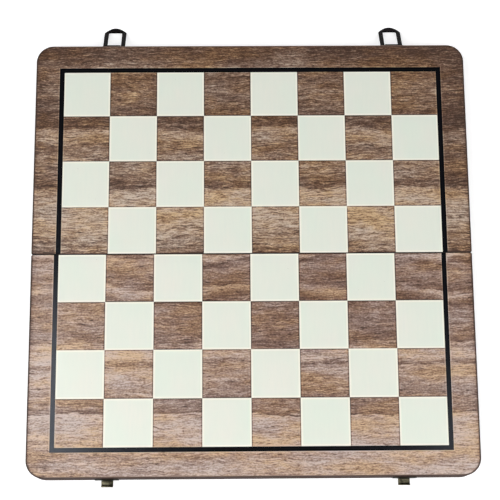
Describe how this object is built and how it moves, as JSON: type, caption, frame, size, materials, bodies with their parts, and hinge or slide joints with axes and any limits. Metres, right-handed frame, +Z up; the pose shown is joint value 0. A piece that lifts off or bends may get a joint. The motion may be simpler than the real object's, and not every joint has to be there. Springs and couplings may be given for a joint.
{
  "type": "games compendium box",
  "caption": "Folding wooden games box, opened flat as a chequered chess and draughts board, with a backgammon table in its trays, butt hinges and loop latches.",
  "frame": {"origin": "under the middle of the seam between the halves, on the table that the open box stands on", "axes": "+X along the seam and the hinge line, +Y across the seam to the half that carries the latch loops, +Z up out of the playing surface"},
  "size_m": [0.381, 0.4167, 0.027],
  "materials": {
    "stained_wood": "satin lacquer",
    "walnut_veneer": "semi-gloss lacquer",
    "pale_veneer": "semi-gloss lacquer",
    "black_inlay": "semi-gloss lacquer",
    "tray_veneer": "semi-gloss lacquer",
    "dark_point_veneer": "semi-gloss lacquer",
    "pale_point_veneer": "semi-gloss lacquer",
    "hinge_brass": "aged satin",
    "dark_bronze": "blackened bronze plating, worn at its edges",
    "antique_bronze": "antique bronze plating"
  },
  "bodies": {
    "far_half": {"far_border_veneer": "walnut_veneer", "far_dark_squares": "walnut_veneer", "far_hinge_screws": "hinge_brass", "far_inlay_line": "black_inlay", "far_latch_screws": "dark_bronze", "far_left_rail": "stained_wood", "far_light_squares": "pale_veneer", "far_long_rail": "stained_wood", "far_panel": "stained_wood", "far_right_rail": "stained_wood", "far_spine_rail": "stained_wood", "far_tray_dark_points": "dark_point_veneer", "far_tray_ground": "tray_veneer", "far_tray_light_points": "pale_point_veneer", "left_hinge_far_leaf": "hinge_brass", "left_hinge_pin": "hinge_brass", "left_loop_plate": "dark_bronze", "right_hinge_far_leaf": "hinge_brass", "right_hinge_pin": "hinge_brass", "right_loop_plate": "dark_bronze"},
    "near_half": {"left_catch": "antique_bronze", "left_hinge_near_leaf": "hinge_brass", "near_border_veneer": "walnut_veneer", "near_dark_squares": "walnut_veneer", "near_hinge_screws": "hinge_brass", "near_inlay_line": "black_inlay", "near_latch_screws": "antique_bronze", "near_left_rail": "stained_wood", "near_light_squares": "pale_veneer", "near_long_rail": "stained_wood", "near_panel": "stained_wood", "near_right_rail": "stained_wood", "near_spine_rail": "stained_wood", "near_tray_dark_points": "dark_point_veneer", "near_tray_ground": "tray_veneer", "near_tray_light_points": "pale_point_veneer", "right_catch": "antique_bronze", "right_hinge_near_leaf": "hinge_brass"},
    "left_loop": {"left_loop": "dark_bronze"},
    "right_loop": {"right_loop": "dark_bronze"}
  },
  "joints": [
    {"name": "fold", "type": "hinge", "parent": "far_half", "child": "near_half", "pos_m": [0, 0, 0.0016], "axis": [1, 0, 0], "range_deg": [0, 180]},
    {"name": "left_loop_swing", "type": "hinge", "parent": "far_half", "child": "left_loop", "pos_m": [-0.1227, 0.19335, 0.0175], "axis": [1, 0, 0], "range_deg": [-52, 130]},
    {"name": "right_loop_swing", "type": "hinge", "parent": "far_half", "child": "right_loop", "pos_m": [0.1278, 0.19335, 0.0175], "axis": [1, 0, 0], "range_deg": [-52, 130]}
  ]
}
